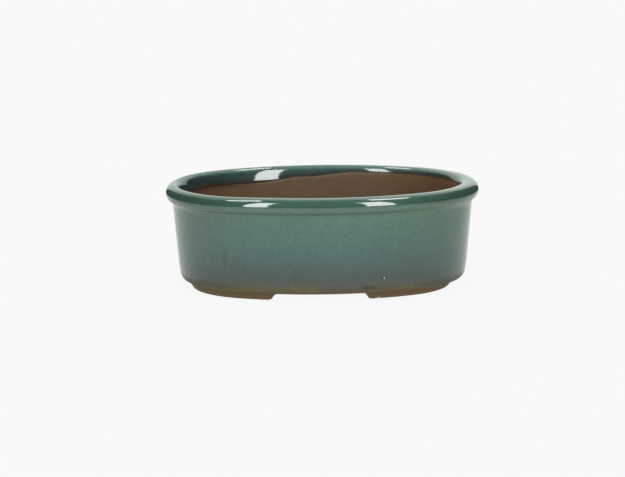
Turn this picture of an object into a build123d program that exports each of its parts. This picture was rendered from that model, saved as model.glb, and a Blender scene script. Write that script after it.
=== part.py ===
from build123d import *
from math import atan2, cos, degrees, hypot, radians, sin, sqrt, tan
import os

# Oval footed flower bowl of glazed stoneware, with a lift-out pin holder for the stems.
# Millimetres. +X along the bowl, +Z up, origin on the table under the bowl's centre.

# Bowl outside
pot_length = 155.0
pot_width = 116.0
pot_height = 52.1
side_bow = 6.0            # how far the long sides bow out past the end arcs' radius

# Clay walls and floor
wall_thickness = 4.2
wall_lean = 5.2           # degrees outwards
floor_thickness = 5.0
floor_corner_radius = 4.0     # inside, where the wall meets the floor
base_edge_radius = 5.0        # outside, under the wall

# Rim
rim_roll_radius = 3.65
rim_inner_width = 3.0         # the rim's inner side is a quarter of an oval, this wide
rim_inner_height = 7.5        # and this tall
rim_cove_radius = 4.5         # hollow under the roll
rim_underside_angle = 55.0    # where the roll turns into the cove, degrees from upright
rim_skirt = 0.5               # plain band under the cove that belongs to the rim

# Feet
foot_height = 3.6
foot_setback = 5.1        # top of the foot in from the bowl's base edge
foot_slope = 2.3          # bottom edge in from the top edge, outside
foot_offset = -0.9        # the ring of the feet sits a little towards the left end
foot_width = 9.0          # at the table
foot_inner_slope = 1.2
foot_gap_top = 43.8
foot_gap_bottom = 48.4
foot_gap_offset = -3.9    # cut by eye, like the ring

# Glaze
glaze_thickness = 0.5
glaze_base_angle = 55.0   # degrees down the base's rounded edge, where the glaze ends
glaze_depth_left = 7.9    # down the inside from the rim's top, left end
glaze_depth_right = 3.3   # the same, right end
glaze_ramp_left = -36.0   # the inner edge climbs between these two places
glaze_ramp_right = 9.0

# Pin holder
holder_x = -26.0
holder_diameter = 44.0
holder_thickness = 8.0
holder_chamfer = 0.8
pin_diameter = 1.3
pin_height = 12.0         # above the weight
pin_tip = 3.0
pin_tip_diameter = 0.3
pin_seat = 4.0            # depth of the pin's hole
pin_pitch = 3.2
pin_edge = 2.2            # rim of the weight left free of pins
pin_clearance = 0.02      # radial
grip_lip = 1.5            # rubber under the weight
grip_lip_width = 6.0
grip_wall = 1.8
grip_height = 6.5
grip_clearance = 0.05     # radial, rubber round the weight

# Levels
floor_top = foot_height + floor_thickness
clay_top = pot_height - glaze_thickness

# Rim past the wall, from the roll and the cove under it
lean = radians(wall_lean)
under = radians(rim_underside_angle)
rim_overhang = rim_roll_radius * (1 - cos(under)) + rim_cove_radius * (cos(lean) - cos(under))

# Reference oval: the glazed wall at the cove's lower end, four tangent arcs
half_length = pot_length / 2 - rim_overhang
half_width = pot_width / 2 - rim_overhang
end_radius = half_width - side_bow
end_centre = half_length - end_radius
side_radius = (end_centre**2 + half_width**2 - end_radius**2) / (2 * side_bow)
side_centre = side_radius - half_width
turn = degrees(atan2(side_centre, end_centre))
ARCS = [
    ((end_centre, 0), end_radius, -turn, turn),
    ((0, -side_centre), side_radius, turn, 180 - turn),
    ((-end_centre, 0), end_radius, 180 - turn, 180 + turn),
    ((0, side_centre), side_radius, 180 + turn, 360 - turn),
]

# Rim's section, as offset from the reference oval and height
roll_centre = (rim_overhang - glaze_thickness - rim_roll_radius, clay_top - rim_roll_radius)
cove_centre = (
    roll_centre[0] + (rim_roll_radius + rim_cove_radius) * cos(under),
    roll_centre[1] - (rim_roll_radius + rim_cove_radius) * sin(under),
)
cove_end = cove_centre[1] + rim_cove_radius * sin(lean)
rim_joint = cove_end - rim_skirt
core_edge = -end_radius / 2      # where the floor's edge ring meets its flat core


def wall_outer(z, outset=0.0):
    """Offset from the reference oval of the wall's outer face, raised by outset."""
    return -glaze_thickness + (z - cove_end) * tan(lean) + outset / cos(lean)


def wall_inner(z, outset=0.0):
    return wall_outer(z) - (wall_thickness + outset) / cos(lean)


def on_circle(centre, radius, angle):
    return (centre[0] + radius * cos(radians(angle)), centre[1] + radius * sin(radians(angle)))


def arc(centre, radius, start, end):
    """Arc by its angles in degrees."""
    points = [on_circle(centre, radius, a) for a in (start, (start + end) / 2, end)]
    return ThreePointArc(*points)


def rim_profile(outset, outer_low, inner_low):
    """The bowl's skin from outer_low on the outside, over the rim, to inner_low on the inside."""
    cove_arc = arc(cove_centre, rim_cove_radius - outset, 180 - wall_lean, 180 - rim_underside_angle)
    roll_arc = arc(roll_centre, rim_roll_radius + outset, -rim_underside_angle, 90)
    # The inner oval ends where it has come to the wall's lean
    width = rim_inner_width + outset
    height = rim_inner_height + outset
    end = atan2(height * tan(lean), width)
    inner_z = clay_top - rim_inner_height
    inner_d = wall_inner(inner_z + height * sin(end), outset) + width * cos(end)
    inner_arc = EllipticalCenterArc((inner_d, inner_z), width, height, 90, arc_size=90 - degrees(end))
    return [
        Line((wall_outer(outer_low, outset), outer_low), cove_arc @ 0),
        cove_arc,
        roll_arc,
        Line(roll_arc @ 1, inner_arc @ 0),
        inner_arc,
        Line(inner_arc @ 1, (wall_inner(inner_low, outset), inner_low)),
    ]


def closed_face(edges, *corners):
    """A face from a chain of edges, closed by straight lines through the corners."""
    points = [edges[-1] @ 1, *corners, edges[0] @ 0]
    closing = [Line(a, b) for a, b in zip(points, points[1:])]
    return make_face(edges + closing)


def oval_ring(section):
    """Carries a section, drawn as offset and height, round the four arcs of the oval."""
    pieces = []
    for centre, radius, start, end in ARCS:
        face = Plane.XZ * Pos(radius, 0) * section
        piece = revolve(face, Axis.Z, revolution_arc=end - start)
        pieces.append(Pos(*centre) * Rot(0, 0, start) * piece)
    return pieces[0].fuse(*pieces[1:]).clean()


def oval_face(offset):
    """The oval, offset, as a flat face on the table."""
    edges = []
    for centre, radius, start, end in ARCS:
        edges.append(arc(centre, radius + offset, start, end))
    return make_face(edges)


def base_edge(outset, low_angle):
    """The rounded edge under the wall, from low_angle degrees below level up to the wall."""
    edge_z = foot_height + base_edge_radius
    edge_centre = (wall_outer(edge_z) - base_edge_radius / cos(lean), edge_z)
    return arc(edge_centre, base_edge_radius + outset, -low_angle, -wall_lean)


def slab_section():
    """The floor from half way to its middle out to its rounded edge."""
    edge_arc = base_edge(0.0, 90)
    edges = [
        Line((core_edge, foot_height), edge_arc @ 0),
        edge_arc,
        Line(edge_arc @ 1, (wall_outer(floor_top), floor_top)),
    ]
    return closed_face(edges, (core_edge, floor_top))


def floor_slab():
    """A rounded edge ring and the flat core inside it, as one slab."""
    ring = oval_ring(slab_section())
    core = Pos(0, 0, foot_height) * extrude(oval_face(core_edge), floor_thickness)
    return ring.fuse(core).clean()


def wall_band():
    """Leaning wall with a rounded corner inside, standing on the floor slab's edge."""
    bend_z = floor_top + floor_corner_radius
    bend_centre = (wall_inner(bend_z) - floor_corner_radius / cos(lean), bend_z)
    bend_arc = arc(bend_centre, floor_corner_radius, -wall_lean, -90)
    edges = [
        Line((wall_outer(floor_top), floor_top), (wall_outer(rim_joint), rim_joint)),
        Line((wall_outer(rim_joint), rim_joint), (wall_inner(rim_joint), rim_joint)),
        Line((wall_inner(rim_joint), rim_joint), bend_arc @ 0),
        bend_arc,
    ]
    return oval_ring(closed_face(edges))


def rim_roll():
    return oval_ring(closed_face(rim_profile(0.0, rim_joint, rim_joint)))


def feet():
    """The foot ring, cut through front and back in one pass, leaves a foot under each end."""
    top = wall_outer(foot_height + base_edge_radius) - foot_setback
    bottom = top - foot_slope
    outline = Polyline(
        (bottom + 2 * foot_slope, 2 * foot_height),
        (bottom, 0),
        (bottom - foot_width, 0),
        (bottom - foot_width - 2 * foot_inner_slope, 2 * foot_height),
        close=True,
    )
    # Drawn up into the floor and trimmed to its underside, flat and rounded edge alike
    ring = (Pos(foot_offset, 0, 0) * oval_ring(make_face(outline))).cut(floor_slab())
    gap_high = 2 * foot_gap_top - foot_gap_bottom
    gap = Polyline(
        (foot_gap_offset - foot_gap_bottom / 2, 0),
        (foot_gap_offset + foot_gap_bottom / 2, 0),
        (foot_gap_offset + gap_high / 2, 2 * foot_height),
        (foot_gap_offset - gap_high / 2, 2 * foot_height),
        close=True,
    )
    cutter = extrude(Plane.XZ * make_face(gap), pot_width / 2, both=True)
    left, right = ring.cut(cutter).solids().sort_by(Axis.X)
    return left, right


def glaze_profile(outset, inner_low):
    """The bowl's skin from part way under the base's edge, over the rim, to inner_low on the inside."""
    edge_arc = base_edge(outset, glaze_base_angle)
    return [edge_arc, *rim_profile(outset, (edge_arc @ 1).Y, inner_low)]


def glaze_coat():
    """A glass skin over wall and rim, its inner edge lower towards the left end."""
    low_left = pot_height - glaze_depth_left
    low_right = pot_height - glaze_depth_right
    outside = glaze_profile(glaze_thickness, low_left)
    inside = glaze_profile(0.0, low_left)
    ends = [
        Line(outside[-1] @ 1, inside[-1] @ 1),
        Line(outside[0] @ 0, inside[0] @ 0),
    ]
    coat = oval_ring(make_face(outside + inside + ends))
    bare = Polyline(
        (glaze_ramp_left, low_left),
        (glaze_ramp_right, low_right),
        (pot_length, low_right),
        (pot_length, low_left - glaze_thickness),
        (glaze_ramp_left, low_left - glaze_thickness),
        close=True,
    )
    below_line = extrude(Plane.XZ * make_face(bare), pot_width, both=True)
    # Everything inside the middle of the wall, so that the outer skin is left alone
    inside_wall = extrude(oval_face(wall_outer(low_left) - wall_thickness / 2), pot_height)
    return coat - (below_line & inside_wall)


def pin_places():
    """Six-sided grid of pins over the weight."""
    reach = holder_diameter / 2 - pin_edge
    row_step = pin_pitch * sqrt(3) / 2
    rows = int(reach / row_step)
    places = []
    for row in range(-rows, rows + 1):
        y = row * row_step
        shift = pin_pitch / 2 if row % 2 else 0.0
        columns = int(reach / pin_pitch) + 1
        for column in range(-columns, columns + 1):
            x = column * pin_pitch + shift
            if hypot(x, y) <= reach:
                places.append((x, y))
    return places


def holder_weight():
    base_z = floor_top + grip_lip
    disc = Cylinder(holder_diameter / 2, holder_thickness, align=(Align.CENTER, Align.CENTER, Align.MIN))
    disc = chamfer(disc.edges().group_by(Axis.Z)[-1], holder_chamfer)
    hole = Cylinder(
        pin_diameter / 2 + pin_clearance,
        pin_seat,
        align=(Align.CENTER, Align.CENTER, Align.MAX),
    )
    holes = [Pos(x, y, holder_thickness) * hole for x, y in pin_places()]
    return Pos(holder_x, 0, base_z) * disc.cut(*holes)


def holder_pins():
    seat_z = floor_top + grip_lip + holder_thickness - pin_seat
    shank = pin_seat + pin_height - pin_tip
    outline = Polyline(
        (0, 0),
        (pin_diameter / 2, 0),
        (pin_diameter / 2, shank),
        (pin_tip_diameter / 2, shank + pin_tip),
        (0, shank + pin_tip),
        close=True,
    )
    pin = revolve(Plane.XZ * make_face(outline), Axis.Z)
    return Compound([Pos(holder_x + x, y, seat_z) * pin.solid() for x, y in pin_places()])


def holder_grip():
    """Rubber ring round the weight, turned in under it."""
    bore = holder_diameter / 2 + grip_clearance
    outline = Polyline(
        (bore + grip_wall, 0),
        (bore + grip_wall, grip_height),
        (bore, grip_height),
        (bore, grip_lip),
        (bore - grip_lip_width, grip_lip),
        (bore - grip_lip_width, 0),
        close=True,
    )
    return Pos(holder_x, 0, floor_top) * revolve(Plane.XZ * make_face(outline), Axis.Z)


foot_left, foot_right = feet()
NODES = {
    "floor_slab": floor_slab(),
    "wall_band": wall_band(),
    "rim_roll": rim_roll(),
    "foot_left": foot_left,
    "foot_right": foot_right,
    "glaze_coat": glaze_coat(),
    "kenzan_weight": holder_weight(),
    "kenzan_pins": holder_pins(),
    "kenzan_grip_ring": holder_grip(),
}

os.makedirs("parts", exist_ok=True)
for name, shape in NODES.items():
    export_step(shape, f"parts/{name}.step")
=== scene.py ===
from math import acos, atan2, cos, pi, radians, sin, sqrt, tan

import bmesh
import bpy
from mathutils import Matrix, Quaternion, Vector


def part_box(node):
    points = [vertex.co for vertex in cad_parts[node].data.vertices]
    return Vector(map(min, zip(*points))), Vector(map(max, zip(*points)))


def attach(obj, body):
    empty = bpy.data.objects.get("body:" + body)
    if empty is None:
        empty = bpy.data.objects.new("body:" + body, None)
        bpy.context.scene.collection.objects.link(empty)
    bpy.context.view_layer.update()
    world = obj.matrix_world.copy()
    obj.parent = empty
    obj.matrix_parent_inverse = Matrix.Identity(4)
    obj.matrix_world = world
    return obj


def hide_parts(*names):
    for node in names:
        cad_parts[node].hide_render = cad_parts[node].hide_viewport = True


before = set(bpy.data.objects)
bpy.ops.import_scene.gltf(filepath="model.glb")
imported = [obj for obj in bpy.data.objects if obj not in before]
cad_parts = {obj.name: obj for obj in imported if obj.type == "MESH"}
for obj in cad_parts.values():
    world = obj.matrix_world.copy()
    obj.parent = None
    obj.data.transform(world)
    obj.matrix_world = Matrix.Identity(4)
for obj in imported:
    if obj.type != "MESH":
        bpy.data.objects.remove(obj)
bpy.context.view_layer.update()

# Oval footed flower bowl in glazed stoneware, with the pin holder that stands in it
# Metres, in the frame of the solids: +X along the bowl, +Z up, the table at zero

mm = 0.001

# Sizes read from the solids
glaze_low, glaze_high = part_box("glaze_coat")
rim_low, rim_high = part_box("rim_roll")
slab_low, slab_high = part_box("floor_slab")
ring_low, ring_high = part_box("kenzan_grip_ring")
weight_low, weight_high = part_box("kenzan_weight")
pins_low, pins_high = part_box("kenzan_pins")
pot_length = glaze_high[0] - glaze_low[0]
pot_width = glaze_high[1] - glaze_low[1]
pot_height = glaze_high[2]
clay_top = rim_high[2]
rim_joint = rim_low[2]
floor_top = slab_high[2]
foot_height = slab_low[2]
glaze_thickness = pot_height - clay_top

# Sizes of the sections, the same as the solids' but for the glaze's edge and what a hand has left
side_bow = 6.0 * mm
wall_thickness = 4.2 * mm
lean = radians(5.2)
floor_corner_radius = 4.0 * mm
base_edge_radius = 5.0 * mm
rim_roll_radius = 3.65 * mm
rim_inner_width = 3.0 * mm
rim_inner_height = 7.5 * mm
rim_cove_radius = 4.5 * mm
rim_underside = radians(55)
lip_depth = 2.5 * mm
glaze_depth_left = 7.3 * mm
edge_climb_height = 4.3 * mm
opening_shift = -1.2 * mm
opening_narrow = 0.65 * mm
rim_sag = 0.6 * mm
thumb_hollow = 0.12 * mm
foot_setback = 5.1 * mm
foot_slope = 2.3 * mm
foot_offset = -0.9 * mm
foot_width = 9.0 * mm
foot_inner_slope = 1.2 * mm
foot_gap_top = 43.8 * mm
foot_gap_bottom = 48.4 * mm
foot_gap_offset = -3.9 * mm
pin_pitch = 3.2 * mm
pin_edge = 2.2 * mm
pin_radius = 0.65 * mm
pin_tip = 3.0 * mm
pin_tip_radius = 0.15 * mm
grip_lip = 1.5 * mm
grip_lip_width = 6.0 * mm
grip_wall = 1.8 * mm

# The oval that the sections follow: four tangent arcs
rim_overhang = rim_roll_radius * (1 - cos(rim_underside)) + rim_cove_radius * (cos(lean) - cos(rim_underside))
half_length = pot_length / 2 - rim_overhang
half_width = pot_width / 2 - rim_overhang
end_radius = half_width - side_bow
end_centre = half_length - end_radius
side_radius = (end_centre**2 + half_width**2 - end_radius**2) / (2 * side_bow)
side_centre = side_radius - half_width
turn = atan2(side_centre, end_centre)

# Where the rim's parts meet, as offset from the oval and height
roll_centre = (rim_overhang - glaze_thickness - rim_roll_radius, clay_top - rim_roll_radius)
cove_centre = (
    roll_centre[0] + (rim_roll_radius + rim_cove_radius) * cos(rim_underside),
    roll_centre[1] - (rim_roll_radius + rim_cove_radius) * sin(rim_underside),
)
cove_end = cove_centre[1] + rim_cove_radius * sin(lean)


def wall_outer(z, outset=0.0):
    return -glaze_thickness + (z - cove_end) * tan(lean) + outset / cos(lean)


def wall_inner(z, outset=0.0):
    return wall_outer(z) - (wall_thickness + outset) / cos(lean)


def inner_oval(outset):
    """The rim's inner side: its oval's middle, foot, width and height, and where it takes the wall's lean."""
    width = rim_inner_width + outset
    height = rim_inner_height + outset
    end = atan2(height * tan(lean), width)
    low = clay_top - rim_inner_height
    middle = wall_inner(low + height * sin(end), outset) + width * cos(end)
    return middle, low, width, height, end


def pick(sockets, key):
    """A socket by its number, its identifier or its name."""
    if isinstance(key, int):
        return sockets[key]
    for socket in sockets:
        if socket.identifier == key:
            return socket
    return sockets[key]


class Value:
    """A socket that sums can be written with; each sum adds a Math node."""

    def __init__(self, tree, socket):
        self.tree = tree
        self.socket = socket

    def __add__(self, other):
        return self.tree.sum("ADD", self, other)

    def __sub__(self, other):
        return self.tree.sum("SUBTRACT", self, other)

    def __mul__(self, other):
        return self.tree.sum("MULTIPLY", self, other)

    def __truediv__(self, other):
        return self.tree.sum("DIVIDE", self, other)

    def __radd__(self, other):
        return self.tree.sum("ADD", other, self)

    def __rsub__(self, other):
        return self.tree.sum("SUBTRACT", other, self)

    def __rmul__(self, other):
        return self.tree.sum("MULTIPLY", other, self)

    def __rtruediv__(self, other):
        return self.tree.sum("DIVIDE", other, self)

    def __lt__(self, other):
        return self.tree.sum("LESS_THAN", self, other)

    def __gt__(self, other):
        return self.tree.sum("GREATER_THAN", self, other)

    def __abs__(self):
        return self.tree.sum("ABSOLUTE", self)


class Made:
    """A node whose outputs are taken by name."""

    def __init__(self, tree, node):
        self.tree = tree
        self.node = node

    def __getitem__(self, key):
        return Value(self.tree, pick(self.node.outputs, key))


class Tree:
    """A node tree that is written as Python."""

    def __init__(self, tree):
        self.tree = tree

    def feed(self, socket, value):
        if isinstance(value, Value):
            self.tree.links.new(value.socket, socket)
        else:
            socket.default_value = value

    def add(self, kind, settings=None, sockets=None):
        """Any node: its type, its settings, then what its sockets hold."""
        node = self.tree.nodes.new(kind)
        for name, value in (settings or {}).items():
            if name == "stops":
                self.set_stops(node.color_ramp, value)
            else:
                setattr(node, name, value)
        for key, value in (sockets or {}).items():
            self.feed(pick(node.inputs, key), value)
        return Made(self, node)

    def set_stops(self, ramp, stops):
        while len(ramp.elements) < len(stops):
            ramp.elements.new(1.0)
        for element, (place, colour) in zip(ramp.elements, stops):
            element.position = place
            element.color = (*colour, 1.0)

    def sum(self, operation, *values):
        return self.add("ShaderNodeMath", {"operation": operation}, dict(enumerate(values)))[0]

    def split(self, vector):
        parts = self.add("ShaderNodeSeparateXYZ", None, {0: vector})
        return parts["X"], parts["Y"], parts["Z"]

    def join(self, x, y, z):
        return self.add("ShaderNodeCombineXYZ", None, {"X": x, "Y": y, "Z": z})[0]

    def rise(self, value, low, high, kind="SMOOTHSTEP"):
        """Step from 0 at low to 1 at high, smooth or LINEAR."""
        sockets = {"Value": value, "From Min": low, "From Max": high}
        return self.add("ShaderNodeMapRange", {"interpolation_type": kind}, sockets)["Result"]

    def noise(self, vector, size, detail=2.0, roughness=0.5):
        """Noise from 0 to 1 with grains of about this size."""
        sockets = {"Vector": vector, "Scale": 1 / size, "Detail": detail, "Roughness": roughness}
        return self.add("ShaderNodeTexNoise", {"noise_dimensions": "3D"}, sockets)[0]

    def mix(self, share, first, second, blend="MIX"):
        settings = {"data_type": "RGBA", "blend_type": blend}
        sockets = {"Factor_Float": share, "A_Color": first, "B_Color": second}
        return self.add("ShaderNodeMix", settings, sockets)["Result_Color"]

    def dim(self, colour, level):
        return self.add("ShaderNodeVectorMath", {"operation": "SCALE"}, {0: colour, "Scale": level})[0]

    def bump(self, height, strength, depth):
        sockets = {"Strength": strength, "Distance": depth, "Height": height}
        return self.add("ShaderNodeBump", None, sockets)["Normal"]

    def place(self, geometry, position):
        sockets = {"Geometry": geometry, "Position": position}
        return self.add("GeometryNodeSetPosition", None, sockets)["Geometry"]

    def distance(self, vector, point):
        return self.add("ShaderNodeVectorMath", {"operation": "DISTANCE"}, {0: vector, 1: point})["Value"]


def colour(red, green, blue):
    return (red, green, blue, 1.0)


def edge_climb(tree, x):
    """How far the glaze's edge inside the rim has climbed, in two steps: 0 on the left, 1 on the right."""
    first = tree.rise(x, -26 * mm, -10 * mm, "LINEAR")
    second = tree.rise(x, 0.0, 18 * mm, "LINEAR")
    return first * 0.48 + second * 0.52


# Materials


def new_material(name):
    material = bpy.data.materials.new(name)
    material.use_nodes = True
    material.node_tree.nodes.clear()
    return material, Tree(material.node_tree)


def finish_material(tree, sockets):
    shader = tree.add("ShaderNodeBsdfPrincipled", None, sockets)
    tree.add("ShaderNodeOutputMaterial", None, {"Surface": shader["BSDF"]})


def glaze_material():
    """Glossy grey-green glass that turns blue-grey down the wall and thins to brown at the base."""
    material, tree = new_material("grey_green_glaze")
    place = tree.add("ShaderNodeTexCoord")["Object"]
    x, y, z = tree.split(place)
    inner = tree.add("ShaderNodeAttribute", {"attribute_name": "inner"})["Fac"]

    # Colours by height in millimetres, with a drift; at the bowl's lower ends the colours sit a little lower,
    # which paints those ends lighter: a painted reflection
    ramp_top = 52.5
    drift = tree.noise(place, 22 * mm, 3.0) - 0.5
    ends_painted_reflection = tree.rise(abs(x), 38 * mm, 66 * mm) * tree.rise(z, 34 * mm, 22 * mm)
    ends_painted_reflection = ends_painted_reflection * (1.0 + tree.rise(z, 5 * mm, 14 * mm) * 4.0)
    level = (z / mm + drift * 6.0 * tree.rise(z, 46 * mm, 38 * mm) + ends_painted_reflection) / ramp_top
    shades = [
        (3.8, (0.165, 0.130, 0.052)),
        (5.2, (0.142, 0.122, 0.054)),
        (6.6, (0.088, 0.087, 0.053)),
        (8.6, (0.046, 0.053, 0.039)),
        (12.0, (0.031, 0.054, 0.047)),
        (16.0, (0.032, 0.068, 0.063)),
        (20.6, (0.035, 0.088, 0.080)),
        (27.0, (0.040, 0.108, 0.094)),
        (33.6, (0.047, 0.124, 0.095)),
        (39.6, (0.052, 0.131, 0.099)),
        (43.0, (0.062, 0.148, 0.101)),
        (46.6, (0.066, 0.156, 0.106)),
        (48.4, (0.044, 0.100, 0.074)),
        (50.6, (0.046, 0.102, 0.076)),
        (51.2, (0.058, 0.112, 0.086)),
        (51.9, (0.095, 0.150, 0.118)),
    ]
    stops = [(height / ramp_top, shade) for height, shade in shades]
    body = tree.add("ShaderNodeValToRGB", {"stops": stops}, {"Fac": level})["Color"]

    # Inside, the lip is paler, below it the glass lies thick and dark, and at its edge it frays to brown
    lip = tree.rise(inner, 0.05, 0.25) * tree.rise(inner, 0.95, 0.35)
    body = tree.mix(lip * 0.5, body, colour(0.14, 0.215, 0.19))
    deep = tree.rise(inner, 0.35, 1.0)
    away = tree.rise(x, -60 * mm, -20 * mm)
    pool = tree.mix(away, colour(0.026, 0.049, 0.048), colour(0.036, 0.068, 0.064))
    body = tree.mix(deep, body, pool)
    climb = edge_climb(tree, x)
    above = z - (pot_height - glaze_depth_left) - climb * edge_climb_height
    above = above + (tree.noise(place, 1.5 * mm) - 0.5) * 0.8 * mm
    fray = tree.rise(above / (3.7 * mm - climb * 2.0 * mm), 1.0, 0.08) * tree.rise(inner, 0.2, 0.5)
    body = tree.mix(fray, body, colour(0.033, 0.031, 0.023))

    # Fine mottling
    cloud = tree.noise(place, 3.5 * mm, 3.0) - 0.5
    speck = tree.noise(place, 0.9 * mm, 2.0) - 0.5
    body = tree.dim(body, 1 + drift * 0.12 + cloud * 0.30 + speck * 0.80)

    # Greener towards the right
    body = tree.mix(tree.rise(x, 20 * mm, 52 * mm), body, colour(0.95, 0.98, 0.90), "MULTIPLY")

    # Darker on the rim's two ends: painted shade
    rim_end_painted_shade = tree.rise(z, 44 * mm, 47 * mm) * tree.rise(z, 51.8 * mm, 50.8 * mm)
    ends = tree.rise(abs(x), 35 * mm, 68 * mm) * rim_end_painted_shade
    body = tree.dim(body, 1 - ends * 0.28)

    # A scorched streak on the left, a smudge and a pinhole low on the right; the pinhole's pit is darkened as
    # painted shade
    front = y < 0.0
    streak = tree.rise(abs(x + 50.2 * mm), 1.3 * mm, 0.1 * mm)
    streak = streak * tree.rise(abs(z - 20.5 * mm), 6.5 * mm, 2.0 * mm) * front
    smudge = tree.rise(abs(x - 19.2 * mm), 4.4 * mm, 2.4 * mm)
    smudge = smudge * tree.rise(abs(z - 7.2 * mm), 1.5 * mm, 0.3 * mm) * front
    smudge = smudge * tree.rise(tree.noise(tree.join(x * 0.5, y, z), 1.2 * mm), 0.3, 0.55)
    from_hole = tree.distance(place, (26.9 * mm, -48.2 * mm, 12.1 * mm))
    hole = tree.rise(from_hole, 1.4 * mm, 0.9 * mm)
    marks_and_pit_shade = streak * 0.30 + smudge * 0.65 + hole * 0.70
    body = tree.dim(body, 1 - marks_and_pit_shade)
    # A painted highlight in the middle of the pinhole
    pinhole_painted_highlight = tree.rise(tree.distance(place, (27.0 * mm, -48.2 * mm, 11.8 * mm)), 0.50 * mm, 0.15 * mm)
    body = tree.mix(pinhole_painted_highlight, body, colour(0.55, 0.57, 0.53))

    matt_edge = tree.rise(above, 0.8 * mm, 0.1 * mm) * (inner > 0.5)
    thin = tree.sum("MAXIMUM", tree.rise(z + drift * 2 * mm, 9.5 * mm, 5.0 * mm), matt_edge)
    hollow = tree.rise(abs(z - 44.6 * mm), 2.6 * mm, 0.6 * mm) * (inner < 0.01)
    rough = 0.06 + speck * 0.03 + hollow * 0.26
    dent = tree.rise(from_hole, 1.2 * mm, 0.5 * mm)
    skin = tree.noise(place, 4.0 * mm, 1.0) * 0.35 + tree.noise(place, 1.0 * mm) * 0.05
    bump = tree.bump(skin - dent * 4.0, 0.5, 0.1 * mm)
    gloss = {"Base Color": body, "Roughness": rough, "IOR": 1.70, "Normal": bump}
    bare = {"Base Color": body, "Roughness": 0.75, "IOR": 1.40, "Normal": bump}
    gloss = tree.add("ShaderNodeBsdfPrincipled", None, gloss)["BSDF"]
    bare = tree.add("ShaderNodeBsdfPrincipled", None, bare)["BSDF"]
    mixed = tree.add("ShaderNodeMixShader", None, {0: thin, 1: gloss, 2: bare})[0]
    tree.add("ShaderNodeOutputMaterial", None, {"Surface": mixed})
    return material


def clay_material():
    """Bare brown stoneware: fine grain, a few dark and pale specks, matt."""
    material, tree = new_material("bare_brown_clay")
    place = tree.add("ShaderNodeTexCoord")["Object"]
    x, y, z = tree.split(place)
    cloud = tree.noise(place, 14 * mm, 3.0) - 0.5
    grain = tree.noise(place, 0.7 * mm, 3.0, 0.65) - 0.5
    stops = [
        (0.25, (0.094, 0.054, 0.027)),
        (0.50, (0.113, 0.068, 0.035)),
        (0.75, (0.132, 0.082, 0.043)),
    ]
    share = 0.5 + cloud * 0.5 + grain * 0.7
    body = tree.add("ShaderNodeValToRGB", {"stops": stops}, {"Fac": share})["Color"]
    # Towards the bowl's ends it is redder and darker
    ends = tree.rise(abs(x + cloud * 30 * mm), 22 * mm, 62 * mm)
    body = tree.mix(ends * 0.85, body, colour(0.096, 0.048, 0.017))
    # Low down, on the feet and the base's edge, it is lighter: painted light where these face down, away from
    # the lamps
    low_painted_light = tree.rise(z, 8.0 * mm, 5.0 * mm)
    low_painted_light_colour = tree.mix(grain + 0.5, colour(0.138, 0.086, 0.038), colour(0.170, 0.110, 0.052))
    body = tree.mix(low_painted_light, body, low_painted_light_colour)
    # Along the glaze's edge inside: a dark stain at the left end, a pale line along the middle
    below = pot_height - glaze_depth_left - z + edge_climb(tree, x) * edge_climb_height
    stain = tree.rise(below + grain * 1.5 * mm, 3.4 * mm, -0.3 * mm) * tree.rise(x, -26 * mm, -44 * mm)
    body = tree.mix(stain * 0.5, body, colour(0.044, 0.028, 0.013))
    halo = tree.rise(below, 1.6 * mm, 0.4 * mm) * tree.rise(z, 30 * mm, 35 * mm)
    halo = halo * tree.rise(x, -36 * mm, -24 * mm) * tree.rise(x, 44 * mm, 30 * mm)
    body = tree.mix(halo * 0.5, body, colour(0.17, 0.14, 0.10))
    pits = tree.rise(tree.noise(place, 1.1 * mm, 1.0), 0.69, 0.76)
    body = tree.mix(pits * 0.55, body, colour(0.045, 0.030, 0.020))
    grit = tree.rise(tree.noise(tree.join(x + 0.3, y, z), 1.0 * mm, 1.0), 0.70, 0.77)
    body = tree.mix(grit * 0.15, body, colour(0.26, 0.20, 0.14))
    chip = tree.rise(tree.distance(place, (24.7 * mm, -40.1 * mm, 0.3 * mm)), 1.4 * mm, 0.7 * mm)
    body = tree.mix(chip * 0.9, body, colour(0.58, 0.52, 0.45))
    # The edge of the feet is worn pale where it has stood
    worn = tree.rise(z + grain * 0.8 * mm, 0.9 * mm, 0.2 * mm)
    worn = worn * (0.25 + tree.rise(tree.noise(place, 7 * mm, 1.0), 0.50, 0.62) * 0.5)
    body = tree.mix(worn, body, colour(0.26, 0.20, 0.14))
    rough = 0.80 + grain * 0.15
    height = grain + cloud * 0.4 - pits * 0.6
    bump = tree.bump(height, 0.45, 0.15 * mm)
    finish_material(tree, {"Base Color": body, "Roughness": rough, "IOR": 1.45, "Normal": bump})
    return material


def lead_material():
    """Dull cast grey metal with a grainy skin."""
    material, tree = new_material("cast_lead_alloy")
    place = tree.add("ShaderNodeTexCoord")["Object"]
    cloud = tree.noise(place, 5 * mm, 3.0)
    grain = tree.noise(place, 0.5 * mm, 2.0)
    body = tree.mix(cloud, colour(0.17, 0.17, 0.165), colour(0.34, 0.34, 0.33))
    bump = tree.bump(grain, 0.4, 0.1 * mm)
    rough = 0.42 + grain * 0.2
    finish_material(tree, {"Base Color": body, "Metallic": 0.9, "Roughness": rough, "Normal": bump})
    return material


def brass_material():
    """Drawn brass wire, darker towards its foot."""
    material, tree = new_material("drawn_brass")
    place = tree.add("ShaderNodeTexCoord")["Object"]
    x, y, z = tree.split(place)
    stain = tree.noise(place, 2.5 * mm, 3.0)
    low = tree.rise(z + stain * 4 * mm, weight_high[2] + 9 * mm, weight_high[2])
    body = tree.mix(low * 0.6, colour(0.72, 0.50, 0.20), colour(0.30, 0.20, 0.09))
    drawn = tree.noise(tree.join(x, y, z * 0.03), 0.12 * mm, 1.0)
    rough = 0.24 + stain * 0.14 + drawn * 0.08
    finish_material(tree, {"Base Color": body, "Metallic": 1.0, "Roughness": rough})
    return material


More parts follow.
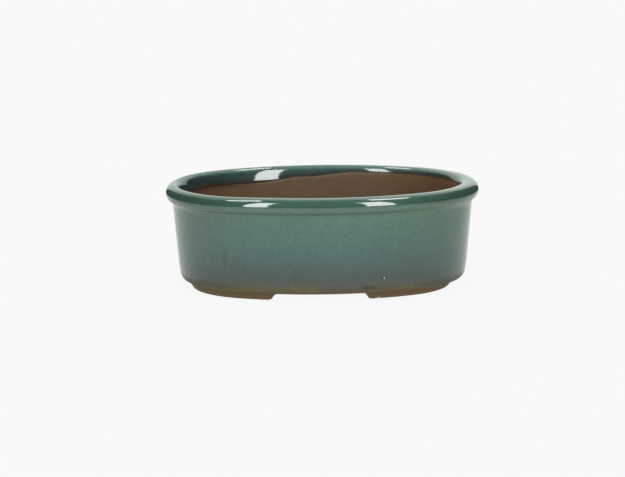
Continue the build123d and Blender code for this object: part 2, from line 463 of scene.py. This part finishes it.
def rubber_material():
    """Black moulded rubber with a dusty bloom."""
    material, tree = new_material("black_rubber")
    place = tree.add("ShaderNodeTexCoord")["Object"]
    bloom = tree.noise(place, 6 * mm, 4.0)
    grain = tree.noise(place, 0.4 * mm, 2.0)
    body = tree.mix(bloom, colour(0.012, 0.012, 0.013), colour(0.040, 0.039, 0.038))
    bump = tree.bump(grain, 0.3, 0.08 * mm)
    finish_material(tree, {"Base Color": body, "Roughness": 0.5 + bloom * 0.2, "Normal": bump})
    return material


glaze = glaze_material()
clay = clay_material()
lead = lead_material()
brass = brass_material()
rubber = rubber_material()


# Geometry Nodes trees


def new_tree(name, inputs):
    """A tree with named inputs, and their identifiers by name."""
    group = bpy.data.node_groups.new(name, "GeometryNodeTree")
    identifiers = {}
    for label, kind in inputs.items():
        item = group.interface.new_socket(name=label, in_out="INPUT", socket_type=kind)
        identifiers[label] = item.identifier
    group.interface.new_socket(name="Geometry", in_out="OUTPUT", socket_type="NodeSocketGeometry")
    return Tree(group), identifiers


def close_tree(tree, geometry, material):
    plain = tree.add("GeometryNodeRealizeInstances", None, {"Geometry": geometry})["Geometry"]
    dressed = tree.add("GeometryNodeSetMaterial", None, {"Geometry": plain, "Material": material})["Geometry"]
    tree.add("NodeGroupOutput", None, {0: dressed})


def oval_sweep_tree():
    """Carries a section round the oval. A section's point holds offset, place inside the rim and height."""
    tree, identifiers = new_tree("oval_sweep", {
        "Section": "NodeSocketObject",
        "Around": "NodeSocketInt",
        "Centre X": "NodeSocketFloat",
        "End Centre": "NodeSocketFloat",
        "End Radius": "NodeSocketFloat",
        "Side Centre": "NodeSocketFloat",
        "Side Radius": "NodeSocketFloat",
        "Turn": "NodeSocketFloat",
        "Edge Climb": "NodeSocketFloat",
        "Opening Shift": "NodeSocketFloat",
        "Opening Narrow": "NodeSocketFloat",
        "Rim Sag": "NodeSocketFloat",
        "Thumb Hollow": "NodeSocketFloat",
        "Hand Wobble": "NodeSocketFloat",
        "Material": "NodeSocketMaterial",
    })
    given = tree.add("NodeGroupInput")
    section = tree.add(
        "GeometryNodeObjectInfo",
        {"transform_space": "ORIGINAL"},
        {"Object": given["Section"]},
    )["Geometry"]
    across = tree.add("GeometryNodeAttributeDomainSize", {"component": "MESH"}, {0: section})["Point Count"]
    grid = tree.add("GeometryNodeMeshGrid", None, {"Vertices X": given["Around"] + 1, "Vertices Y": across})
    index = tree.add("GeometryNodeInputIndex")[0]
    column = tree.sum("FLOOR", index / across)
    point = tree.add(
        "GeometryNodeSampleIndex",
        {"data_type": "FLOAT_VECTOR", "domain": "POINT"},
        {
            "Geometry": section,
            "Value": tree.add("GeometryNodeInputPosition")[0],
            "Index": index - column * across,
        },
    )["Value"]
    offset, inner, height = tree.split(point)

    # Place on the oval, by the direction that the wall faces
    angle = column / given["Around"] * (2 * pi)
    cosine = tree.sum("COSINE", angle)
    sine = tree.sum("SINE", angle)
    at_end = abs(sine) < tree.sum("SINE", given["Turn"])
    radius = at_end * given["End Radius"] + (1 - at_end) * given["Side Radius"]
    centre_x = at_end * tree.sum("SIGN", cosine) * given["End Centre"]
    centre_y = (at_end - 1) * tree.sum("SIGN", sine) * given["Side Centre"]

    # The glaze's edge inside the rim climbs towards the right
    along = centre_x + radius * cosine
    climb = edge_climb(tree, along) * given["Edge Climb"]
    ripple = tree.noise(tree.join(along, centre_y + radius * sine, 0.0), 9 * mm, 2.0) - 0.5
    skirt = tree.add("ShaderNodeClamp", None, {"Value": inner - 1})[0]
    lift = skirt * (climb + ripple * 0.9 * mm)
    middle, low, width, tall, end = inner_oval(0.0)

    def inside_face(level):
        """Offset of the clay's inner face at a height."""
        share = (level - low) / tall
        up = tree.add("ShaderNodeClamp", None, {"Value": share, "Min": sin(end), "Max": 0.999})[0]
        under = tree.sum("MINIMUM", level - (low + tall * sin(end)), 0.0)
        return under * tan(lean) - tree.sum("SQRT", 1 - up * up) * width

    follow = inside_face(height + lift) - inside_face(height)

    # Made by hand, so never quite true: the rim sags at the left, the opening sits off its middle,
    # and a thumb has hollowed the inside at the back left
    beside = centre_y + radius * sine
    spot = tree.join(along, beside, height)
    wobble = (tree.noise(spot, 26 * mm, 1.0) - 1) * given["Hand Wobble"]
    inside = tree.add("ShaderNodeClamp", None, {"Value": inner * 40})[0]
    thumb = tree.rise(tree.distance(spot, (-28 * mm, 52 * mm, 48 * mm)), 17 * mm, 0.0) * inside
    reach = radius + offset + follow + wobble + thumb * given["Thumb Hollow"]
    shift = inside * (given["Opening Shift"] - given["Opening Narrow"] * cosine)
    sag = tree.rise(along, -20 * mm, -62 * mm) * tree.rise(beside, 25 * mm, -20 * mm)
    sag = sag * tree.rise(height, 36 * mm, 47 * mm) * given["Rim Sag"]
    place = tree.join(
        given["Centre X"] + centre_x + reach * cosine + shift,
        centre_y + reach * sine,
        height + lift - sag,
    )
    swept = tree.place(grid["Mesh"], place)
    swept = tree.add(
        "GeometryNodeStoreNamedAttribute",
        {"data_type": "FLOAT", "domain": "POINT"},
        {"Geometry": swept, "Name": "inner", "Value": inner},
    )["Geometry"]
    joined = {"Geometry": swept, "Distance": 0.001 * mm}
    closed = tree.add("GeometryNodeMergeByDistance", None, joined)["Geometry"]
    close_tree(tree, closed, given["Material"])
    return tree.tree, identifiers


def pin_field_tree():
    """Sharp pins on a six-sided grid inside a circle."""
    tree, identifiers = new_tree("pin_field", {
        "Rows": "NodeSocketInt",
        "Columns": "NodeSocketInt",
        "Pitch": "NodeSocketFloat",
        "Reach": "NodeSocketFloat",
        "Centre X": "NodeSocketFloat",
        "Foot": "NodeSocketFloat",
        "Length": "NodeSocketFloat",
        "Radius": "NodeSocketFloat",
        "Tip": "NodeSocketFloat",
        "Tip Radius": "NodeSocketFloat",
        "Material": "NodeSocketMaterial",
    })
    given = tree.add("NodeGroupInput")
    rows = given["Rows"] * 2 + 1
    columns = given["Columns"] * 2 + 1
    grid = tree.add("GeometryNodeMeshGrid", None, {"Vertices X": columns, "Vertices Y": rows})["Mesh"]
    index = tree.add("GeometryNodeInputIndex")[0]
    column = tree.sum("FLOOR", index / rows)
    row = index - column * rows - given["Rows"]
    odd = tree.sum("FLOORED_MODULO", row, 2.0)
    x = (column - given["Columns"] + odd * 0.5) * given["Pitch"]
    y = row * given["Pitch"] * (sqrt(3) / 2)
    laid = tree.place(grid, tree.join(x, y, 0.0))
    where = tree.add("GeometryNodeInputPosition")[0]
    outside = tree.distance(where, (0.0, 0.0, 0.0)) > given["Reach"]
    kept = tree.add(
        "GeometryNodeDeleteGeometry",
        {"domain": "POINT"},
        {"Geometry": laid, "Selection": outside},
    )["Geometry"]

    # One pin: a drum of three rings, pulled to its lengths and drawn in at the top
    drum = tree.add(
        "GeometryNodeMeshCylinder",
        {"fill_type": "NGON"},
        {"Vertices": 10, "Side Segments": 2, "Radius": given["Radius"], "Depth": 1.0},
    )["Mesh"]
    drum_x, drum_y, drum_z = tree.split(where)
    top = drum_z > 0.25
    middle = (drum_z > -0.25) - top
    narrow = 1 - top * (1 - given["Tip Radius"] / given["Radius"])
    tall = middle * (given["Length"] - given["Tip"]) + top * given["Length"]
    pin = tree.place(drum, tree.join(drum_x * narrow, drum_y * narrow, tall))
    field = tree.add("GeometryNodeInstanceOnPoints", None, {"Points": kept, "Instance": pin})["Instances"]
    stood = tree.add(
        "GeometryNodeTransform",
        None,
        {"Geometry": field, "Translation": tree.join(given["Centre X"], 0.0, given["Foot"])},
    )["Geometry"]
    close_tree(tree, stood, given["Material"])
    return tree.tree, identifiers


def grow(name, made_tree, sizes):
    """An object whose mesh is what a tree gives for these sizes."""
    tree, identifiers = made_tree
    piece = bpy.data.objects.new(name, bpy.data.meshes.new(name))
    bpy.context.scene.collection.objects.link(piece)
    modifier = piece.modifiers.new("shape", "NODES")
    modifier.node_group = tree
    for label, value in sizes.items():
        modifier[identifiers[label]] = value
    depsgraph = bpy.context.evaluated_depsgraph_get()
    mesh = bpy.data.meshes.new_from_object(piece.evaluated_get(depsgraph))
    piece.modifiers.remove(modifier)
    piece.data = mesh
    mesh.name = name
    return piece


def turn_outwards(piece, sharp=38):
    """Closes open rings, points the faces outwards and shades smooth but for real edges."""
    shape = bmesh.new()
    shape.from_mesh(piece.data)
    rings = [edge for edge in shape.edges if edge.is_boundary]
    if rings:
        bmesh.ops.holes_fill(shape, edges=rings, sides=0)
    bmesh.ops.recalc_face_normals(shape, faces=shape.faces)
    shape.to_mesh(piece.data)
    shape.free()
    piece.data.shade_smooth()
    piece.data.set_sharp_from_angle(angle=radians(sharp))


# Sections, as lists of offset, place inside the rim and height


def steps(first, last, count):
    return [first + (last - first) * k / count for k in range(count + 1)]


def soft_step(share):
    share = min(1.0, max(0.0, share))
    return share * share * (3 - 2 * share)


def arc(centre, radius, start, end, count):
    return [(centre[0] + radius * cos(a), centre[1] + radius * sin(a)) for a in steps(start, end, count)]


base_edge_z = foot_height + base_edge_radius
base_edge_centre = (wall_outer(base_edge_z) - base_edge_radius / cos(lean), base_edge_z)


def inner_side(outset, last, count):
    """Down the rim's inner side from its top to the height last."""
    middle, low, width, height, end = inner_oval(outset)
    joint = low + height * sin(end)
    points = []
    for a in steps(pi / 2, pi - end, count):
        z = low + height * sin(a)
        if z > last:
            points.append((middle + width * cos(a), z))
    below = steps(joint, last, 4)[1:] if joint > last else [last]
    for z in below:
        share = min(1.0, (z - low) / height)
        d = wall_inner(z, outset) if z <= joint else middle - width * sqrt(1 - share * share)
        points.append((d, z))
    return points


def glaze_section():
    """The glass skin as a closed loop: up the outside, over the rim, and back along the clay."""
    low_left = pot_height - glaze_depth_left
    thin = 0.06
    under_clay = -0.02 * mm

    def coat(z):
        return glaze_thickness * (thin + (1 - thin) * soft_step((z - 4.2 * mm) / (9 * mm)))

    def skin(outset, fine):
        """Outset is a thickness by height, and fine a number of steps for the curves."""
        points = []
        for a in steps(radians(-55), -lean, fine // 2):
            z = base_edge_centre[1] + base_edge_radius * sin(a)
            radius = base_edge_radius + outset(z)
            points.append((base_edge_centre[0] + radius * cos(a), 0.0, base_edge_centre[1] + radius * sin(a)))
        full = outset(pot_height)
        cove = arc(cove_centre, rim_cove_radius - full, pi - lean, pi - rim_underside, fine)
        for z in steps(points[-1][2], cove[0][1], fine * 2)[1:-1]:
            points.append((wall_outer(z, outset(z)), 0.0, z))
        roll = arc(roll_centre, rim_roll_radius + full, -rim_underside, pi / 2, fine * 2)
        points += [(d, 0.0, z) for d, z in [*cove, *roll[1:]]]
        down = inner_side(full, low_left, fine * 2)
        turn_z = pot_height - lip_depth
        for d, z in down:
            if z > turn_z:
                inner = (pot_height - z) / (pot_height - turn_z)
            else:
                inner = 1 + (turn_z - z) / (turn_z - low_left)
            ease = (1 - thin) * full * soft_step((inner - 1.9) / 0.1)
            points.append((d + ease, max(0.0, inner), z))
        return points

    outside = skin(coat, 15)
    clay_side = skin(lambda z: under_clay, 6)
    return [*outside, *reversed(clay_side), outside[0]]


def rim_section():
    cove = arc(cove_centre, rim_cove_radius, pi - lean, pi - rim_underside, 10)
    roll = arc(roll_centre, rim_roll_radius, -rim_underside, pi / 2, 20)
    start = (wall_outer(rim_joint), 0.0, rim_joint)
    points = [start, *[(d, 0.0, z) for d, z in [*cove, *roll[1:]]]]
    for d, z in inner_side(0.0, rim_joint, 24):
        points.append((d, min(1.0, (clay_top - z) / lip_depth), z))
    return [*points, start]


def wall_section():
    bend_z = floor_top + floor_corner_radius
    bend_centre = (wall_inner(bend_z) - floor_corner_radius / cos(lean), bend_z)
    outside = [(wall_outer(z), z) for z in steps(floor_top, rim_joint, 12)]
    inside = [(wall_inner(z), z) for z in steps(rim_joint, bend_z - floor_corner_radius * sin(lean), 24)]
    bend = arc(bend_centre, floor_corner_radius, -lean, -pi / 2, 10)[1:]
    outside = [(d, 0.0, z) for d, z in outside]
    return [*outside, *[(d, 1.0, z) for d, z in [*inside, *bend]], outside[0]]


def slab_section():
    """Open towards the middle of the floor, where the slab is flat."""
    core = -end_radius / 2
    edge = arc(base_edge_centre, base_edge_radius, -lean, -pi / 2, 12)
    top = [(d, floor_top) for d in steps(core, wall_outer(floor_top), 6)]
    bottom = [(d, foot_height) for d in steps(edge[-1][0], core, 6)[1:]]
    return [(d, 0.0, z) for d, z in [*top, *edge, *bottom]]


def grip_section():
    """Rubber ring as radius and height, with soft corners, turned in under the weight."""
    bore = (ring_high[0] - ring_low[0]) / 2 - grip_wall
    low, high = ring_low[2], ring_high[2]
    soft = 0.5 * mm
    outer = bore + grip_wall
    points = [
        *arc((outer - soft, low + soft), soft, -pi / 2, 0, 5),
        *arc((outer - soft, high - soft), soft, 0, pi / 2, 5),
        *arc((bore + soft, high - soft), soft, pi / 2, pi, 5),
        (bore, low + grip_lip),
        (bore - grip_lip_width, low + grip_lip),
        (bore - grip_lip_width, low),
    ]
    return [(d, 0.0, z) for d, z in [*points, points[0]]]


def sweep(name, section, material, around=640, wobble=0.06 * mm, **other):
    """A piece carried round the oval."""
    outline = bpy.data.meshes.new("section")
    outline.from_pydata(section, [], [])
    guide = bpy.data.objects.new("section", outline)
    bpy.context.scene.collection.objects.link(guide)
    sizes = {
        "Section": guide,
        "Around": around,
        "Centre X": 0.0,
        "End Centre": end_centre,
        "End Radius": end_radius,
        "Side Centre": side_centre,
        "Side Radius": side_radius,
        "Turn": turn,
        "Edge Climb": edge_climb_height,
        "Opening Shift": opening_shift,
        "Opening Narrow": opening_narrow,
        "Rim Sag": rim_sag,
        "Thumb Hollow": thumb_hollow,
        "Hand Wobble": wobble,
        "Material": material,
    }
    sizes.update(other)
    piece = grow(name, oval_sweep, sizes)
    bpy.data.objects.remove(guide)
    turn_outwards(piece)
    return piece


def foot_outline(side, z, inset, end_inset):
    """A foot's outline at a height, drawn in by inset: round its outer side and back along its inner one."""
    top = wall_outer(base_edge_z) - foot_setback
    share = z / foot_height
    outer = top - foot_slope * (1 - share) - inset
    inner = top - foot_slope - foot_width - foot_inner_slope * share + inset
    half_gap = (foot_gap_bottom + (foot_gap_top - foot_gap_bottom) * share) / 2 + end_inset
    cut_x = half_gap + side * (foot_gap_offset - foot_offset)

    def path(offset):
        first = acos(cut_x / (side_radius + offset))
        points = []
        for a in steps(-first, first, 120):
            at_end = abs(a) < turn
            radius = (end_radius if at_end else side_radius) + offset
            x = radius * cos(a) + (end_centre if at_end else 0.0)
            y = radius * sin(a) - (0.0 if at_end else side_centre if a > 0 else -side_centre)
            points.append((side * x + foot_offset, y, z))
        return points

    return [*path(outer), *reversed(path(inner))]


def foot(name, side):
    """The foot under one end, its lower edges rubbed round and its ends running softly into the floor."""
    soft = 0.9 * mm
    flare = 1.0 * mm
    levels = [(foot_height + 0.1 * mm, 0.0, -flare)]
    for a in steps(pi / 2, 0, 5):
        levels.append((foot_height - flare * (1 - sin(a)), 0.0, -flare * (1 - cos(a))))
    for a in steps(0, pi / 2, 6):
        levels.append((soft * (1 - sin(a)), soft * (1 - cos(a)), 2.4 * soft * (1 - cos(a))))
    loops = [foot_outline(side, *level) for level in levels]
    around = len(loops[0])
    faces = []
    for k in range(len(loops) - 1):
        for i in range(around):
            j = (i + 1) % around
            faces.append((k * around + i, k * around + j, (k + 1) * around + j, (k + 1) * around + i))
    for first in (0, (len(loops) - 1) * around):
        for i in range(around // 2 - 1):
            faces.append((first + i, first + i + 1, first + around - 2 - i, first + around - 1 - i))
    mesh = bpy.data.meshes.new(name)
    mesh.from_pydata([point for loop in loops for point in loop], [], faces)
    mesh.materials.append(clay)
    piece = bpy.data.objects.new(name, mesh)
    bpy.context.scene.collection.objects.link(piece)
    turn_outwards(piece, 50)
    return piece


def settle(piece, body, node):
    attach(piece, body)
    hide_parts(node)


oval_sweep = oval_sweep_tree()
pin_field = pin_field_tree()

settle(sweep("glaze_skin", glaze_section(), glaze, 560), "bowl", "glaze_coat")
settle(sweep("clay_rim", rim_section(), clay), "bowl", "rim_roll")
settle(sweep("clay_wall", wall_section(), clay), "bowl", "wall_band")
settle(sweep("clay_floor", slab_section(), clay), "bowl", "floor_slab")
settle(foot("clay_foot_left", -1), "bowl", "foot_left")
settle(foot("clay_foot_right", 1), "bowl", "foot_right")

holder_x = (weight_low[0] + weight_high[0]) / 2
holder_radius = (weight_high[0] - weight_low[0]) / 2
pin_reach = holder_radius - pin_edge
circle = {"End Centre": 0.0, "End Radius": 0.0, "Side Centre": 0.0, "Side Radius": 0.0, "Turn": 1.0}
grip = sweep("grip_ring", grip_section(), rubber, 128, 0.0, **{"Centre X": holder_x}, **circle)
settle(grip, "kenzan", "kenzan_grip_ring")
pins = grow("stem_pins", pin_field, {
    "Rows": int(pin_reach / (pin_pitch * sqrt(3) / 2)),
    "Columns": int(pin_reach / pin_pitch) + 1,
    "Pitch": pin_pitch,
    "Reach": pin_reach,
    "Centre X": holder_x,
    "Foot": pins_low[2],
    "Length": pins_high[2] - pins_low[2],
    "Radius": pin_radius,
    "Tip": pin_tip,
    "Tip Radius": pin_tip_radius,
    "Material": brass,
})
turn_outwards(pins)
settle(pins, "kenzan", "kenzan_pins")
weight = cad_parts["kenzan_weight"]
for place in weight.material_slots:
    place.material = lead


# Floor, light and camera


def sheet(name, corners, material):
    """A flat four-cornered sheet."""
    mesh = bpy.data.meshes.new(name)
    mesh.from_pydata(corners, [], [(0, 1, 2, 3)])
    mesh.materials.append(material)
    made = bpy.data.objects.new(name, mesh)
    bpy.context.scene.collection.objects.link(made)
    return made


def pale_floor():
    """White floor: it shows white to the eye and, near the bowl, in the glaze, and keeps the shadow.

    From below it is clear, so that the underside can be looked at.
    """
    material, tree = new_material("white_floor")
    path = tree.add("ShaderNodeLightPath")
    place = tree.add("ShaderNodeTexCoord")["Object"]
    near = tree.rise(tree.distance(place, (0.0, 0.0, 0.0)), 0.50, 0.25)
    mirrored = tree.sum("MAXIMUM", path["Is Glossy Ray"], path["Is Transmission Ray"])
    camera = path["Is Camera Ray"]
    matt = tree.add("ShaderNodeBsdfDiffuse", None, {"Color": colour(0.03, 0.03, 0.03)})["BSDF"]
    strength = camera * 0.907 + mirrored * near * 0.94 + (1 - camera) * (1 - mirrored) * 0.36
    tint = tree.mix(mirrored, colour(1.0, 1.0, 1.0), colour(0.975, 1.0, 0.925))
    glow = tree.add("ShaderNodeEmission", None, {"Color": tint, "Strength": strength})["Emission"]
    both = tree.add("ShaderNodeAddShader", None, {0: matt, 1: glow})[0]
    clear = tree.add("ShaderNodeBsdfTransparent")["BSDF"]
    under = tree.add("ShaderNodeNewGeometry")["Backfacing"]
    shown = tree.add("ShaderNodeMixShader", None, {0: under, 1: both, 2: clear})[0]
    tree.add("ShaderNodeOutputMaterial", None, {"Surface": shown})
    half = 15.0
    z = -0.02 * mm
    corners = [(-half, -half, z), (half, -half, z), (half, half, z), (-half, half, z)]
    floor = sheet("floor", corners, material)


def white_card():
    """White card that stands behind the bowl, wider towards its top, for the glaze to mirror."""
    material, tree = new_material("white_card")
    height = tree.split(tree.add("ShaderNodeTexCoord")["Object"])[2]
    strength = 1.02 - tree.rise(height, 0.6, 1.5) * 0.65
    sockets = {"Color": colour(0.92, 1.0, 0.93), "Strength": strength}
    glow = tree.add("ShaderNodeEmission", None, sockets)["Emission"]
    tree.add("ShaderNodeOutputMaterial", None, {"Surface": glow})
    y = 0.262
    tall = 1.6
    left, right = -0.11, 0.16
    corners = [(left, y, 0), (right, y, 0), (right + 0.38 * tall, y, tall), (left - 0.58 * tall, y, tall)]
    card = sheet("card", corners, material)
    card.visible_camera = False
    card.visible_diffuse = False
    card.visible_shadow = False


def studio_world():
    """White to the eye, and a dim room to everything else."""
    world = bpy.data.worlds.new("studio")
    bpy.context.scene.world = world
    world.use_nodes = True
    world.node_tree.nodes.clear()
    tree = Tree(world.node_tree)
    camera = tree.add("ShaderNodeLightPath")["Is Camera Ray"]
    strength = 0.06 + camera * 0.88
    light = tree.add("ShaderNodeBackground", None, {"Strength": strength})["Background"]
    tree.add("ShaderNodeOutputWorld", None, {"Surface": light})


def softbox(name, azimuth, elevation, distance, width, height, brightness=9.5, lean_out=None, fill=False):
    """Soft lamp towards the bowl, with the brightness of its face, where white is 1.

    It is square on to the bowl, or stands upright and leans out by an angle. A fill lamp isn't mirrored.
    """
    a, e = radians(azimuth), radians(elevation)
    way = Vector((sin(a) * cos(e), -cos(a) * cos(e), sin(e)))
    facing = way if lean_out is None else Vector((sin(a), -cos(a), 0))
    lamp = bpy.data.lights.new(name, "AREA")
    lamp.shape = "RECTANGLE"
    lamp.size = width
    lamp.size_y = height
    lamp.energy = pi * brightness * width * height
    holder = bpy.data.objects.new(name, lamp)
    turned = facing.to_track_quat("Z", "Y") @ Quaternion((0, 0, 1), radians(lean_out or 0.0))
    holder.rotation_euler = turned.to_euler()
    holder.location = way * distance + Vector((0, 0, pot_height / 2))
    holder.visible_camera = False
    holder.visible_glossy = not fill
    bpy.context.scene.collection.objects.link(holder)


def photo_camera():
    """Long lens from the front, a little from the left and above, framed as in the photograph."""
    image_width, image_height = 625, 477
    bowl_pixels = 313
    distance = 2.4
    focal = distance * bowl_pixels / pot_length
    azimuth, elevation, roll = radians(-3.2), radians(9.561), radians(-0.455)
    bowl_at = (322.7, 233.32)
    aim_height = 26 * mm
    back = Vector((sin(azimuth) * cos(elevation), -cos(azimuth) * cos(elevation), sin(elevation)))
    level = Vector((cos(azimuth), sin(azimuth), 0))
    upright = back.cross(level)
    right = cos(roll) * level + sin(roll) * upright
    up = cos(roll) * upright - sin(roll) * level
    per_pixel = distance / focal
    aim = Vector((0, 0, aim_height))
    aim -= right * (bowl_at[0] - image_width / 2) * per_pixel
    aim -= up * (image_height / 2 - bowl_at[1]) * per_pixel
    data = bpy.data.cameras.new("camera")
    data.sensor_fit = "HORIZONTAL"
    data.sensor_width = 36.0
    data.lens = data.sensor_width * focal / image_width
    data.clip_start = 0.05
    data.clip_end = 100.0
    camera = bpy.data.objects.new("camera", data)
    pose = Matrix((right, up, back)).transposed().to_4x4()
    pose.translation = aim + back * distance
    camera.matrix_world = pose
    bpy.context.scene.collection.objects.link(camera)
    bpy.context.scene.camera = camera


pale_floor()
white_card()
studio_world()
softbox("softbox_left", -37.3, 35.2, 4.9, width=0.95, height=5.7, lean_out=2.6)
softbox("softbox_right", 31.1, 32.0, 4.7, width=1.10, height=5.0, lean_out=-1.2)
softbox("top_lamp_left", -108, 68, 4.0, width=1.5, height=0.8)
softbox("top_lamp_right", 105, 70, 4.0, width=1.5, height=0.8)
softbox("fill_back_left", -140, 25, 4.5, width=2.5, height=2.5, brightness=4.5, fill=True)
softbox("fill_back_right", 140, 25, 4.5, width=2.5, height=2.5, brightness=4.5, fill=True)
photo_camera()
bpy.context.scene.view_settings.view_transform = "Standard"
